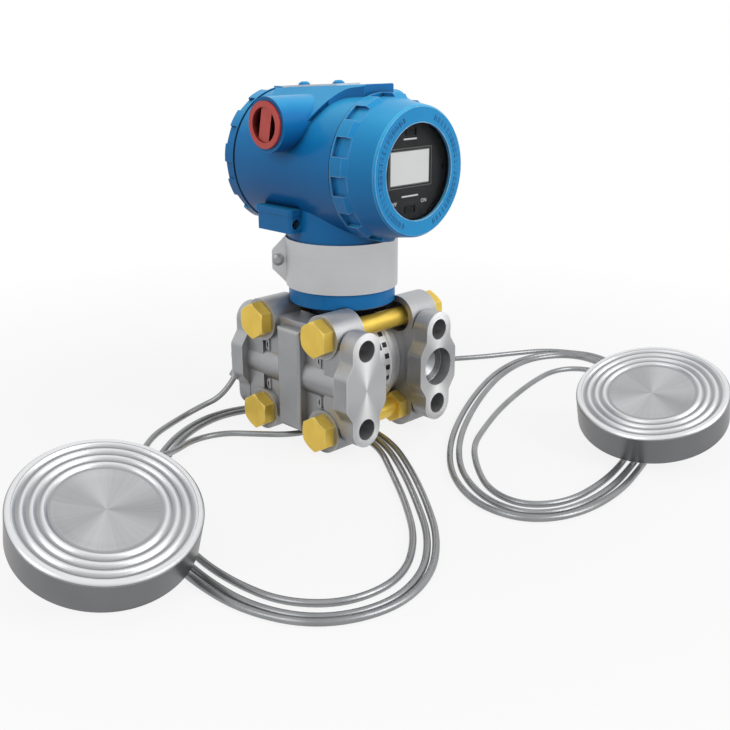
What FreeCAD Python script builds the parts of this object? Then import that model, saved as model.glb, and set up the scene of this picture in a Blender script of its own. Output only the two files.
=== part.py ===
import FreeCAD, Part
import math
import os

# Differential pressure transmitter with two remote diaphragm seals, in millimetres, +Z up.
# The origin is on the floor under the neck. The display looks along -Y, the flange bolts lie along X.

# Process flanges
bolt_pitch_y = 47.4
bolt_pitch_z = 50.4
boss_radius = 11.3
port_pitch = 54.0
pad_hole_pitch = 41.3
pad_face_y = 45.5
flange_gap = 36.0
boss_face_x = 37.0
plate_face_x = 34.0
plate_half_y = 30.0
plate_half_z = 28.5
plate_corner = 6.0
rib_face_x = 39.4
rib_half_width = 8.6
rib_half_height = 27.0
rib_drop = 2.0
rib_corner = 1.8
bulge_radius = 10.5
pad_thickness = 9.5
pad_half_width = 13.8
pad_lobe_radius = 9.3
pad_flank = 8.4
pad_waist = 15.0
pad_corner_radius = 3.6
pad_neck_half_height = 20.6
lobe_boss_radius = 8.6
bolt_pocket_radius = 8.2
bolt_pocket_depth = 7.0
mark_y = 20.2
mark_z = 11.0
mark_radius = 3.0
mark_line = 0.9
mark_height = 0.7
pad_hole_radius = 5.55
bracket_hole_radius = 5.0
pad_hole_depth = 15.0
port_radius = 10.2
port_depth = 7.0
port_cone = 5.0
passage_radius = 4.0
chamber_land = 1.5
chamber_depth = 1.2
gasket_outer_radius = 25.4
gasket_width = 2.9
gasket_depth = 1.6

# Flange bolts and nuts
bolt_radius = 5.0
bolt_hole_clearance = 0.3
bolt_head_height = 6.5
bolt_tip_length = 8.7
hex_across_flats = 17.0
nut_height = 7.6
thread_clearance = 0.03
lock_nut_height = 5.4
lock_nut_across_flats = 15.0
hex_chamfer = 1.3

# Sensor capsule
capsule_radius = 27.4
capsule_rim_radius = 28.4
capsule_end_radius = 26.0
capsule_rim_outer_x = 12.0
capsule_rim_inner_x = 9.6
capsule_mark_count = 14
capsule_mark_length = 9.0
capsule_mark_width = 4.6
capsule_mark_depth = 0.5
diaphragm_margin = 0.5
diaphragm_thickness = 0.6

# Sensor neck and collar
neck_radius = 28.2
neck_bottom_z = 70.9
neck_edge = 0.7
neck_boss_gap = 0.4
neck_split_z = 92.0
neck_stem_radius = 17.4
spigot_radius = 22.0
spigot_length = 12.0
turn_clearance = 0.06
split_gap = 0.3
collar_bottom_z = 79.6
collar_height = 25.4
collar_thickness = 1.3
collar_clearance = 0.02
under_collar_step = 0.35
collar_slit = 2.6
ear_reach = 8.4
ear_tip_height = 9.6
ear_thickness = 1.4
ear_bearing = 135.0
collar_screw_radius = 1.9
collar_screw_reach = 5.2
collar_head_radius = 3.1
collar_head_height = 2.0
collar_nut_across_flats = 6.4
collar_nut_height = 2.6

# Electronics housing
barrel_axis_z = 142.5
barrel_radius = 35.3
front_seam_y = -28.0
rear_seam_y = 42.5
cover_thread_radius = 32.0
front_thread_length = 10.0
rear_thread_length = 7.0
wall_thickness = 3.4
bulkhead_front_y = 4.0
bulkhead_thickness = 4.0
feed_radius = 6.0
feed_y = -10.0
block_outer_x = -35.2
block_front_y = 0.0
block_rear_y = 26.2
block_bottom_drop = 32.6
block_top_drop = 23.4
block_corner = 2.0
ledge_height = 2.8
ledge_reach = 0.8
lock_hole_x = -31.2
lock_hole_drop = 28.3
lock_screw_radius = 2.7
lock_screw_length = 12.0
lock_screw_recess = 3.0
lock_socket_across_flats = 3.0
lock_socket_depth = 1.5

# Top fairing, top plate and conduit entries
conduit_y = 5.0
conduit_drop = 14.3
conduit_boss_radius = 13.2
conduit_boss_x = 44.6
conduit_bore_radius = 9.5
plug_disc_radius = 11.2
plug_disc_seat = 2.4
plug_face_x = 46.2
plug_stem_length = 13.0
plug_clearance = 0.06
plug_cup_radius = 8.4
plug_cup_depth = 6.0
plug_grip_width = 7.6
plug_grip_sink = 1.0
plug_grip_turn = 12.0
fairing_lift = 2.3
fairing_half_x = 40.0
fairing_edge = ((6.0, 8.9), (-3.0, 14.3), (-7.6, 21.8), (-10.4, 27.4), (-12.0, 32.7), (-12.4, 40.5))
fairing_rear_top = (36.0, 40.5)
fairing_rear_low = (20.0, 15.5)
roof_lean = 35.0
top_nose_y = -27.0
top_rear_y = 38.0
nose_edge = ((19.5, 15.0), (15.5, 12.8), (12.6, 10.0), (11.0, 4.8), (10.0, 0.0))
top_nose_rise = 4.2
top_slope_drop = 3.8
top_plate_half_x = 8.0
top_plate_front_y = -6.0
top_plate_rear_y = 35.0
top_plate_thickness = 0.8
top_screw_front_y = 1.4
top_screw_rear_y = 27.1
top_screw_radius = 1.8
top_screw_depth = 4.0
top_dome_radius = 3.2
top_dome_height = 1.7

# Screwed covers
cover_gap = 0.2
cover_thread_clearance = 0.06
seam_gap = 1.0
lug_radius = 35.8
lug_rim = 1.0
lug_slope = 2.2
notch_floor_rise = 0.25
lug_count = 12
lug_phase = 21.0
lug_notch_width = 9.4
front_lug_length = 7.6
rear_lug_length = 6.6
front_face_y = -54.0
rear_face_y = 53.4
cover_body_radius = 33.4
cover_edge = 0.9
cover_edge_radius = 31.2
front_face_radius = 30.4
rear_face_radius = 30.8
cover_seal_radius = 34.9
cover_seal_play = 0.05
rear_face_thickness = 2.4

# Window
window_radius = 23.0
window_lip = 1.6
gasket_thickness = 0.4
glass_radius = 25.4
glass_thickness = 2.6
glass_clearance = 0.1
retainer_width = 3.3
display_play = 0.8
retainer_length = 1.0
cover_hollow_radius = 29.6
cover_hollow_y = -46.2

# Display and electronics
module_radius = 27.0
module_front_y = -16.0
display_rim_y = -46.0
display_rim_thickness = 2.6
display_rim_radius = 26.6
display_wall = 2.0
plateau_y = -48.0
plateau_half_x = 22.6
plateau_half_z = 22.8
plateau_corner = 12.5
lcd_half_x = 14.0
lcd_half_z = 8.3
lcd_rise_z = 1.6
lcd_depth = 1.0
lcd_sink = 0.3
display_screw_x = 24.7
display_screw_radius = 1.0
display_screw_depth = 2.0
display_head_radius = 1.8
display_head_height = 0.9
switch_z = 18.4
switch_slot_half_x = 4.0
switch_slot_half_z = 1.8
switch_slot_depth = 1.2
switch_width = 4.6
switch_side_play = 0.2
switch_travel = 3.0
switch_proud = 0.6
block_disc_radius = 25.0
block_disc_length = 20.0
terminal_pitch = 11.0
terminal_count = 3
terminal_screw_radius = 2.0
terminal_screw_depth = 6.0
terminal_head_radius = 3.6
terminal_head_height = 2.4
terminal_slot_width = 1.0

# Remote seals
seal_diameter = 76.0
seal_thickness = 16.0
seal_edge = 1.0
diaphragm_diameter = 70.8
diaphragm_seat = 2.6
diaphragm_sheet = 1.2
diaphragm_play = 0.05
disc_diameter = 42.0
disc_drop = 0.6
corrugation_count = 3
corrugation_height = 1.0
connector_radius = 6.0
connector_length = 19.4
connector_place = 25.0
outlet_drop = 13.0
outlet_radius = 3.2
outlet_reach = 12.0
high_seal_centre = (-179.6, -54.6)
high_seal_tilt = 23.9
high_seal_heading = 78.0
high_seal_lift = 1.0
high_connector_bearing = -32.0
high_outlet_bearing = -32.0
low_seal_centre = (86.0, -138.7)
low_seal_tilt = 20.4
low_seal_heading = 12.0
low_seal_lift = 3.7
low_connector_bearing = 56.0
low_outlet_bearing = 36.0

# Capillaries, laid by hand on the floor
capillary_radius = 1.6
strand_pitch = 4.4
coil_turns = 2
coil_height = 3.4
coil_play = 0.1
bend_share = 0.45
adapter_radius = 11.0
adapter_thickness = 4.0
adapter_end_play = 0.5
adapter_fit = 0.03
nozzle_radius = 3.4
nozzle_reach = 17.0
nozzle_end_run = 12.0
high_nozzle = (-0.48, 0.22, -0.85)
low_nozzle = (0.45, 0.25, -0.86)
high_lead = ((-53.0, 63.0, 5.0), (-70.0, 62.0, 1.7), (-88.0, 54.0, 1.7), (-104.0, 40.5, 1.7),
             (-117.0, 26.0, 1.7), (-128.0, 8.0, 1.7))
high_coil = ((-123.0, 16.0), (-142.0, -12.0), (-155.0, -46.0), (-161.0, -82.0), (-160.0, -114.0),
             (-147.0, -140.0), (-121.0, -152.0), (-93.0, -147.0), (-67.0, -128.0), (-45.0, -102.0),
             (-23.0, -72.0), (-5.0, -42.0), (2.0, -10.0), (-2.0, 24.0), (-18.0, 50.0),
             (-48.0, 60.0), (-84.0, 48.0))
high_tail = ((-140.7, -21.0, 1.7), (-144.5, -45.0, 1.7), (-147.5, -70.0, 1.7), (-147.5, -95.0, 1.7),
             (-140.5, -117.0, 1.7), (-124.0, -131.0, 1.7), (-101.0, -131.0, 1.7), (-76.0, -118.0, 1.7),
             (-53.0, -96.0, 1.7), (-32.0, -70.0, 1.7), (-13.0, -46.0, 1.7), (-7.0, -22.0, 1.7),
             (-16.0, -2.0, 1.7), (-36.0, 2.0, 1.7), (-49.0, 17.0, 1.7), (-60.0, 30.0, 1.7),
             (-77.0, 34.0, 1.7), (-95.0, 24.0, 4.0), (-112.0, 8.0, 12.0), (-128.0, -2.0, 18.5))
low_lead = ((52.0, 63.0, 5.5), (71.0, 60.0, 1.7), (92.0, 49.0, 1.7), (113.0, 32.0, 1.7),
            (138.0, 15.0, 1.7), (162.0, 3.0, 1.7), (182.0, -8.0, 1.7), (192.0, -26.0, 1.7))
low_coil = ((186.0, -14.0), (196.0, -38.0), (187.0, -66.0), (162.0, -98.0), (132.0, -122.0),
            (97.0, -140.0), (61.0, -151.0), (26.0, -159.0), (-6.0, -158.0), (-26.0, -146.0),
            (-31.0, -126.0), (-24.0, -105.0), (-8.0, -84.0), (18.0, -62.0), (50.0, -42.0),
            (85.0, -24.0), (122.0, -9.0), (158.0, -3.0))
low_tail = ((189.3, -36.0, 1.7), (181.0, -58.0, 1.7), (165.0, -79.0, 1.7), (146.0, -98.0, 1.7),
            (124.0, -112.0, 1.7), (96.0, -127.0, 1.7), (66.0, -139.0, 1.7), (34.0, -146.0, 1.7),
            (4.0, -147.0, 1.7), (-14.0, -133.0, 1.7), (-12.0, -113.0, 1.7), (4.0, -93.0, 1.7),
            (22.0, -75.0, 1.7), (46.0, -64.0, 1.7), (72.0, -53.5, 1.7), (100.0, -45.0, 1.7),
            (128.0, -38.5, 1.7), (150.0, -36.0, 1.7), (165.0, -43.0, 1.7), (170.0, -59.0, 1.7),
            (160.0, -75.0, 5.0), (140.0, -80.0, 12.0))

# Values that follow from the sizes above
port_height = bolt_pitch_z / 2 + boss_radius
port_x = port_pitch / 2
inner_x = flange_gap / 2
pad_neck_half_width = port_x - inner_x
gasket_inner_radius = gasket_outer_radius - gasket_width
chamber_radius = gasket_inner_radius - chamber_land
neck_pocket_radius = spigot_radius + turn_clearance
chamber_wall_radius = cover_thread_radius - wall_thickness
front_thread_y = front_seam_y - front_thread_length
rear_thread_y = rear_seam_y + rear_thread_length
bulkhead_rear_y = bulkhead_front_y + bulkhead_thickness
conduit_z = barrel_axis_z + barrel_radius - conduit_drop
ear_tip_radius = neck_radius + ear_reach
collar_screw_place = neck_radius + collar_screw_reach
retainer_outer_radius = display_rim_radius + display_play
retainer_inner_radius = retainer_outer_radius - retainer_width
top_nose_z = barrel_axis_z + barrel_radius + top_nose_rise
top_rear_z = top_nose_z - top_slope_drop
block_bottom_z = barrel_axis_z - block_bottom_drop
block_top_z = barrel_axis_z - block_top_drop
lock_hole_z = barrel_axis_z - lock_hole_drop
glass_front_y = front_face_y + window_lip + gasket_thickness
glass_back_y = glass_front_y + glass_thickness
origin = FreeCAD.Vector(0, 0, 0)
axis_x = FreeCAD.Vector(1, 0, 0)
axis_y = FreeCAD.Vector(0, 1, 0)
axis_z = FreeCAD.Vector(0, 0, 1)
port_line = FreeCAD.Vector(0, 0, port_height)
barrel_line = FreeCAD.Vector(0, 0, barrel_axis_z)


def vec(x, y, z):
    return FreeCAD.Vector(x, y, z)


def box(low, high):
    """Block between two corners."""
    size = [b - a for a, b in zip(low, high)]
    return Part.makeBox(size[0], size[1], size[2], vec(*low))


def rod(radius, start, direction, length):
    """Round bar from a start point along a direction."""
    return Part.makeCylinder(radius, length, start, direction)


def lathe(profile, start, axis):
    """Solid of revolution; the profile lists (distance along the axis, radius)."""
    side = axis_y if abs(axis.x) > abs(axis.y) + abs(axis.z) else axis_x
    corners = [start + axis * along + side * radius for along, radius in profile]
    face = Part.Face(Part.makePolygon(corners + corners[:1]))
    return face.revolve(start, axis, 360)


def ring(inner, outer, start, axis, low, high):
    """Flat ring between two radii and two stations along the axis."""
    return lathe([(low, inner), (low, outer), (high, outer), (high, inner)], start, axis)


def hexagon(across_flats, start, direction, length):
    """Hexagonal bar whose first corner points up or along Y."""
    turn = FreeCAD.Rotation(axis_z, direction)
    radius = across_flats / math.sqrt(3)
    corners = [start + turn.multVec(vec(radius * math.cos(math.radians(60 * k)),
                                        radius * math.sin(math.radians(60 * k)), 0)) for k in range(6)]
    return Part.Face(Part.makePolygon(corners + corners[:1])).extrude(direction * length)


def bevelled_hexagon(across_flats, start, direction, length):
    """Hexagonal bar with its far corners turned off by a cone."""
    flat = across_flats / 2
    corner = across_flats / math.sqrt(3) + hex_chamfer
    cone = lathe([(0, 0), (0, corner), (length - hex_chamfer, corner), (length, flat), (length, 0)],
                 start, direction)
    return hexagon(across_flats, start, direction, length).common(cone)


def joined(first, *others):
    """One solid from several that touch or overlap."""
    return first.fuse(list(others)).removeSplitter()


def save(name, *shapes):
    """Write one node."""
    shape = shapes[0] if len(shapes) == 1 else Part.makeCompound(shapes)
    shape.exportStep("parts/" + name + ".step")


os.makedirs("parts", exist_ok=True)

# Process flange, drawn on the low side (+X)
bolt_places = [(side * bolt_pitch_y / 2, port_height + lift * bolt_pitch_z / 2)
               for side in (-1, 1) for lift in (-1, 1)]


def pad(side):
    """Lobed bolting pad at one end of a flange."""
    hole = pad_hole_pitch / 2
    reach = hole + pad_lobe_radius
    y = side * pad_face_y

    def at(x, z):
        return vec(port_x + x, y, port_height + z)

    flank = [at(pad_lobe_radius, hole), at(pad_lobe_radius, pad_waist), at(pad_half_width, pad_flank),
             at(pad_half_width, -pad_flank), at(pad_lobe_radius, -pad_waist), at(pad_lobe_radius, -hole)]
    other = [at(-pad_lobe_radius, -hole), at(-pad_lobe_radius, -pad_waist), at(-pad_half_width, -pad_flank),
             at(-pad_half_width, pad_flank), at(-pad_lobe_radius, pad_waist), at(-pad_lobe_radius, hole)]
    edges = Part.makePolygon(flank).Edges
    edges = edges + [Part.Arc(flank[-1], at(0, -reach), other[0]).toShape()]
    edges = edges + Part.makePolygon(other).Edges
    edges = edges + [Part.Arc(other[-1], at(0, reach), flank[0]).toShape()]
    prism = Part.Face(Part.Wire(edges)).extrude(axis_y * (-side * pad_thickness))
    corners = [edge for edge in prism.Edges if len(edge.Vertexes) == 2
               and abs(edge.Vertexes[0].Point.y - edge.Vertexes[1].Point.y) > pad_thickness / 2
               and abs(abs(edge.Vertexes[0].Point.z - port_height) - hole) > pad_corner_radius / 2]
    return prism.makeFillet(pad_corner_radius, corners)


def flange(front_port):
    """Flange casting with its bosses, port passage, pads and holes."""
    plate = box((inner_x, -plate_half_y, port_height - plate_half_z),
                (plate_face_x, plate_half_y, port_height + plate_half_z))
    upright = [e for e in plate.Edges if abs(e.Vertexes[0].Point.x - e.Vertexes[1].Point.x) > plate_corner]
    body = plate.makeFillet(plate_corner, upright)
    rib_z = port_height - rib_drop
    rib = box((inner_x, -rib_half_width, rib_z - rib_half_height),
              (rib_face_x, rib_half_width, rib_z + rib_half_height))
    rib_edges = [e for e in rib.Edges if min(v.Point.x for v in e.Vertexes) > plate_face_x]
    rib = rib.makeFillet(rib_corner, rib_edges)
    bulge = rod(bulge_radius, vec(port_x, -pad_face_y + pad_thickness, port_height), axis_y,
                2 * (pad_face_y - pad_thickness))
    bulge = bulge.common(box((inner_x, -pad_face_y, 0), (rib_face_x, pad_face_y, 2 * port_height)))
    solids = [rib, bulge]
    for y, z in bolt_places:
        solids.append(rod(boss_radius, vec(inner_x, y, z), axis_x, boss_face_x - inner_x))
    for side in (-1, 1):
        solids.append(pad(side))
        far = side * (pad_face_y - pad_thickness)
        near = side * (plate_half_y - plate_corner)
        solids.append(box((port_x - pad_neck_half_width, min(far, near), port_height - pad_neck_half_height),
                          (port_x + pad_neck_half_width, max(far, near), port_height + pad_neck_half_height)))
        for lift in (-1, 1):
            solids.append(rod(lobe_boss_radius, vec(port_x, near, port_height + lift * pad_hole_pitch / 2),
                              axis_y * side, abs(far - near)))
            foot = vec(plate_face_x, side * mark_y, port_height + lift * mark_z)
            mark = ring(mark_radius - mark_line, mark_radius, foot, axis_x, 0, mark_height)
            bar = box((plate_face_x, side * mark_y, foot.z - mark_radius),
                      (plate_face_x + mark_height, side * mark_y + mark_line, foot.z + mark_radius))
            half = box((plate_face_x, side * mark_y, foot.z - mark_radius),
                       (plate_face_x + mark_height, side * mark_y + mark_radius, foot.z + mark_radius))
            disc = rod(mark_radius, foot, axis_x, mark_height)
            solids += [mark.common(half), bar.common(disc)]
    body = joined(body, *solids)
    tools = [rod(bolt_radius + bolt_hole_clearance, vec(inner_x, y, z), axis_x, boss_face_x)
             for y, z in bolt_places]
    tools += [rod(bolt_pocket_radius, vec(inner_x, y, z), axis_x, bolt_pocket_depth)
              for y, z in bolt_places if z > port_height]
    for side, radius in ((-1, pad_hole_radius), (1, bracket_hole_radius)):
        for lift in (-1, 1):
            mouth = vec(port_x, side * pad_face_y, port_height + lift * pad_hole_pitch / 2)
            tools.append(rod(radius, mouth, axis_y * -side, pad_hole_depth))
    port = [(0, 0), (0, port_radius), (port_depth, port_radius), (port_depth + port_cone, passage_radius),
            (pad_face_y, passage_radius), (pad_face_y, 0)]
    for side in (-1, 1) if front_port else (1,):
        tools.append(lathe(port, vec(port_x, side * pad_face_y, port_height), axis_y * -side))
    tools.append(rod(passage_radius, vec(inner_x, 0, port_height), axis_x, port_x - inner_x))
    tools.append(rod(chamber_radius, vec(inner_x, 0, port_height), axis_x, chamber_depth))
    tools.append(ring(gasket_inner_radius, gasket_outer_radius, port_line, axis_x, inner_x,
                      inner_x + gasket_depth))
    return body.cut(tools)


save("low_side_flange", flange(True))
save("high_side_flange", flange(False).mirror(origin, axis_x))

# Bolts, nuts and lock nuts
bolts = []
nuts = []
lock_nuts = []
for y, z in bolt_places:
    seat = vec(-boss_face_x, y, z)
    head = bevelled_hexagon(hex_across_flats, seat, axis_x * -1, bolt_head_height)
    bolts.append(joined(head, rod(bolt_radius, seat, axis_x, 2 * boss_face_x + bolt_tip_length)))
    nut = bevelled_hexagon(hex_across_flats, vec(boss_face_x, y, z), axis_x, nut_height)
    nuts.append(nut.cut(rod(bolt_radius + thread_clearance, vec(boss_face_x, y, z), axis_x, nut_height)))
    if z < port_height:
        start = vec(inner_x, y, z)
        lock_nut = bevelled_hexagon(lock_nut_across_flats, start, axis_x * -1, lock_nut_height)
        thread = rod(bolt_radius + thread_clearance, start, axis_x * -1, lock_nut_height)
        lock_nuts.append(lock_nut.cut(thread))
save("flange_bolts", *bolts)
save("flange_nuts", *nuts)
save("lower_lock_nuts", *lock_nuts)

# Sensor capsule with its process diaphragms and gaskets
half_capsule = [(inner_x, capsule_end_radius), (capsule_rim_outer_x, capsule_end_radius),
                (capsule_rim_outer_x, capsule_rim_radius), (capsule_rim_inner_x, capsule_rim_radius),
                (capsule_rim_inner_x, capsule_radius)]
other_half = [(-x, r) for x, r in reversed(half_capsule)]
capsule_profile = [(inner_x, 0)] + half_capsule + other_half + [(-inner_x, 0)]
capsule = lathe(capsule_profile, port_line, axis_x)
mark = box((-capsule_mark_length / 2, -capsule_mark_width / 2, capsule_radius - capsule_mark_depth),
           (capsule_mark_length / 2, capsule_mark_width / 2, capsule_rim_radius))
mark.translate(port_line)
mark_step = 360 / capsule_mark_count
marks = [mark.rotated(port_line, axis_x, mark_step * (k + 1 / 2)) for k in range(capsule_mark_count)]
capsule = capsule.cut(marks)
save("sensor_capsule", capsule)
sheets = []
gaskets = []
for side in (-1, 1):
    outward = axis_x * side
    foot = port_line + outward * inner_x
    sheets.append(rod(chamber_radius - diaphragm_margin, foot, outward, diaphragm_thickness))
    gaskets.append(ring(gasket_inner_radius, gasket_outer_radius, foot, outward, 0, gasket_depth))
save("process_diaphragms", *sheets)
save("capsule_gaskets", *gaskets)

# Sensor neck: drum, spigot for the housing and the stem that stands on the capsule
spigot_top_z = neck_split_z + spigot_length
neck = lathe([(neck_bottom_z, 0), (neck_bottom_z, neck_radius - neck_edge),
              (neck_bottom_z + neck_edge, neck_radius), (neck_split_z, neck_radius),
              (neck_split_z, spigot_radius), (spigot_top_z, spigot_radius), (spigot_top_z, 0)],
             origin, axis_z)
stem = rod(neck_stem_radius, port_line, axis_z, neck_bottom_z + neck_edge - port_height)
boss_room = [rod(boss_radius + neck_boss_gap, vec(side * (inner_x - neck_boss_gap), y, z), axis_x * side,
                 boss_face_x) for side in (-1, 1) for y, z in bolt_places if z > port_height]
save("sensor_neck", joined(neck, stem).cut([lathe(capsule_profile, port_line, axis_x)] + boss_room))

# Tag collar with its two ears, drawn with the ears along +X and then turned
collar_top_z = collar_bottom_z + collar_height
collar_radius = neck_radius + collar_clearance
ear_z = (collar_bottom_z + collar_top_z) / 2
band = ring(collar_radius, collar_radius + collar_thickness, origin, axis_z, collar_bottom_z, collar_top_z)
slit = box((0, -collar_slit / 2, collar_bottom_z), (ear_tip_radius, collar_slit / 2, collar_top_z))
ear_root = collar_radius + collar_thickness / 2
ears = []
for side in (-1, 1):
    y = side * collar_slit / 2
    corners = [vec(ear_root, y, collar_bottom_z), vec(ear_tip_radius, y, ear_z - ear_tip_height / 2),
               vec(ear_tip_radius, y, ear_z + ear_tip_height / 2), vec(ear_root, y, collar_top_z)]
    ears.append(Part.Face(Part.makePolygon(corners + corners[:1])).extrude(axis_y * side * ear_thickness))
ear_span = collar_slit + 2 * ear_thickness
screw_line = vec(collar_screw_place, ear_span / 2, ear_z)
grip = rod(collar_screw_radius, screw_line, axis_y * -1, ear_span + collar_nut_height)
collar = joined(band.cut(slit), *ears).cut(grip)
head = lathe([(0, 0), (0, collar_head_radius), (collar_head_height / 2, collar_head_radius),
              (collar_head_height, collar_head_radius / 2), (collar_head_height, 0)], screw_line, axis_y)
nut_start = screw_line - axis_y * ear_span
collar_nut = hexagon(collar_nut_across_flats, nut_start, axis_y * -1, collar_nut_height).cut(grip)
save("tag_collar", collar.rotated(origin, axis_z, ear_bearing))
save("collar_screw", joined(head, grip).rotated(origin, axis_z, ear_bearing))
save("collar_nut", collar_nut.rotated(origin, axis_z, ear_bearing))

# Electronics housing
barrel_run = rear_seam_y - front_seam_y
barrel = rod(barrel_radius, vec(0, front_seam_y, barrel_axis_z), axis_y, barrel_run)
front_thread = rod(cover_thread_radius, vec(0, front_thread_y, barrel_axis_z), axis_y, front_thread_length)
rear_thread = rod(cover_thread_radius, vec(0, rear_seam_y, barrel_axis_z), axis_y, rear_thread_length)
shell_bottom_z = neck_split_z + split_gap
shell_radius = neck_radius - under_collar_step
neck_shell = lathe([(shell_bottom_z, 0), (shell_bottom_z, shell_radius), (collar_top_z, shell_radius),
                    (collar_top_z, neck_radius), (barrel_axis_z, neck_radius), (barrel_axis_z, 0)],
                   origin, axis_z)
cover_room = rod(lug_radius + cover_gap, vec(0, front_thread_y, barrel_axis_z), axis_y, front_thread_length)
neck_shell = neck_shell.cut(cover_room)
under_block = box((block_outer_x, block_front_y, block_bottom_z),
                  (0, block_rear_y, block_top_z + ledge_height))
ledge = box((block_outer_x - ledge_reach, block_front_y - ledge_reach, block_top_z),
            (0, block_rear_y + ledge_reach, block_top_z + ledge_height))
block_parts = []
for block in (under_block, ledge):
    uprights = [e for e in block.Edges if abs(e.Vertexes[0].Point.z - e.Vertexes[1].Point.z) > block_corner
                and e.Vertexes[0].Point.x < block_outer_x / 2]
    block_parts.append(block.makeFillet(block_corner, uprights))
edge_curve = Part.BSplineCurve()
edge_curve.interpolate([vec(-fairing_half_x, y, barrel_axis_z + rise) for y, rise in fairing_edge])
closing = [fairing_edge[-1], fairing_rear_top, fairing_rear_low, fairing_edge[0]]
closing = Part.makePolygon([vec(-fairing_half_x, y, barrel_axis_z + rise) for y, rise in closing])
outline = Part.Wire([edge_curve.toShape()] + closing.Edges)
fairing = Part.Face(outline).extrude(axis_x * (2 * fairing_half_x))
crest_radius = barrel_radius + fairing_lift
lean = math.radians(roof_lean)
crest = rod(crest_radius, vec(0, front_seam_y, barrel_axis_z), axis_y, barrel_run)
gable_corners = ((-math.sin(lean), math.cos(lean)), (0, 1 / math.cos(lean)), (math.sin(lean), math.cos(lean)))
gable = [vec(x * crest_radius, front_seam_y, barrel_axis_z + z * crest_radius) for x, z in gable_corners]
gable = Part.Face(Part.makePolygon(gable + gable[:1])).extrude(axis_y * barrel_run)
crest = joined(crest, gable)
right = [vec(x, top_nose_y + back, barrel_axis_z) for x, back in nose_edge]
left = [vec(-p.x, p.y, p.z) for p in reversed(right)]
right_curve = Part.BSplineCurve()
right_curve.interpolate(right)
left_curve = Part.BSplineCurve()
left_curve.interpolate(left)
nose_rear = [left[-1], vec(left[-1].x, conduit_y, barrel_axis_z), vec(right[0].x, conduit_y, barrel_axis_z),
             right[0]]
nose = Part.Wire([right_curve.toShape(), Part.makeLine(right[-1], left[0]), left_curve.toShape()]
                 + Part.makePolygon(nose_rear).Edges)
nose = Part.Face(nose).extrude(axis_z * (2 * barrel_radius))
top_fall = (top_nose_z - top_rear_z) / (top_rear_y - top_nose_y)


def top_z(y):
    """Height of the sloping top face at a place along the barrel."""
    return top_nose_z - top_fall * (y - top_nose_y)


roof_corners = ((top_nose_y, top_nose_z), (top_rear_y, top_rear_z), (top_rear_y, 2 * top_nose_z),
                (top_nose_y, 2 * top_nose_z))
roof = [vec(-fairing_half_x, y, z) for y, z in roof_corners]
roof = Part.Face(Part.makePolygon(roof + roof[:1])).extrude(axis_x * (2 * fairing_half_x))
crest = crest.cut(roof)
nose = nose.common(crest)
fairing = fairing.common(crest)
bosses = rod(conduit_boss_radius, vec(-conduit_boss_x, conduit_y, conduit_z), axis_x, 2 * conduit_boss_x)
casting = joined(barrel, front_thread, rear_thread, neck_shell, fairing, nose, bosses, *block_parts)
front_mouth = barrel_line + axis_y * front_thread_y
rear_floor = barrel_line + axis_y * bulkhead_rear_y
hollows = [rod(chamber_wall_radius, front_mouth, axis_y, bulkhead_front_y - front_thread_y),
           rod(chamber_wall_radius, rear_floor, axis_y, rear_thread_y - bulkhead_rear_y),
           rod(neck_pocket_radius, origin, axis_z, spigot_top_z + split_gap),
           rod(feed_radius, vec(0, feed_y, spigot_top_z), axis_z, barrel_axis_z - spigot_top_z)]
for side in (-1, 1):
    face = vec(side * conduit_boss_x, conduit_y, conduit_z)
    hollows.append(rod(conduit_bore_radius, face, axis_x * -side, conduit_boss_x - conduit_bore_radius))
    hollows.append(rod(plug_disc_radius + 2 * plug_clearance, face, axis_x * -side, plug_disc_seat))
lock_mouth = vec(lock_hole_x, block_front_y, lock_hole_z)
lock_depth = lock_screw_length + lock_screw_recess
hollows.append(rod(lock_screw_radius + thread_clearance, lock_mouth, axis_y, lock_depth))
top_normal = vec(0, top_fall, 1).normalize()
top_screw_feet = [vec(0, y, top_z(y)) for y in (top_screw_front_y, top_screw_rear_y)]
for foot in top_screw_feet:
    hollows.append(rod(top_screw_radius, foot, top_normal * -1, top_screw_depth))
casting = casting.cut(hollows)
save("housing", casting)

# Rotation lock screw with a hexagon socket
lock_start = lock_mouth + axis_y * lock_screw_recess
lock_screw = rod(lock_screw_radius, lock_start, axis_y, lock_screw_length)
lock_socket = hexagon(lock_socket_across_flats, lock_start, axis_y, lock_socket_depth)
save("rotation_lock_screw", lock_screw.cut(lock_socket))

# Top plate and its dome screws
plate_corners = [vec(-top_plate_half_x, top_plate_front_y, top_z(top_plate_front_y)),
                 vec(top_plate_half_x, top_plate_front_y, top_z(top_plate_front_y)),
                 vec(top_plate_half_x, top_plate_rear_y, top_z(top_plate_rear_y)),
                 vec(-top_plate_half_x, top_plate_rear_y, top_z(top_plate_rear_y))]
plate_face = Part.Face(Part.makePolygon(plate_corners + plate_corners[:1]))
top_plate = plate_face.extrude(top_normal * top_plate_thickness)
top_screws = []
holes = []
for foot in top_screw_feet:
    shank = rod(top_screw_radius, foot - top_normal * top_screw_depth, top_normal,
                top_screw_depth + top_plate_thickness)
    dome = lathe([(0, 0), (0, top_dome_radius), (top_dome_height / 2, top_dome_radius - top_dome_height / 4),
                  (top_dome_height, top_dome_radius / 2), (top_dome_height, 0)],
                 foot + top_normal * top_plate_thickness, top_normal)
    holes.append(shank)
    top_screws.append(joined(dome, shank))
save("top_plate", top_plate.cut(holes))
save("top_plate_screws", *top_screws)

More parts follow.
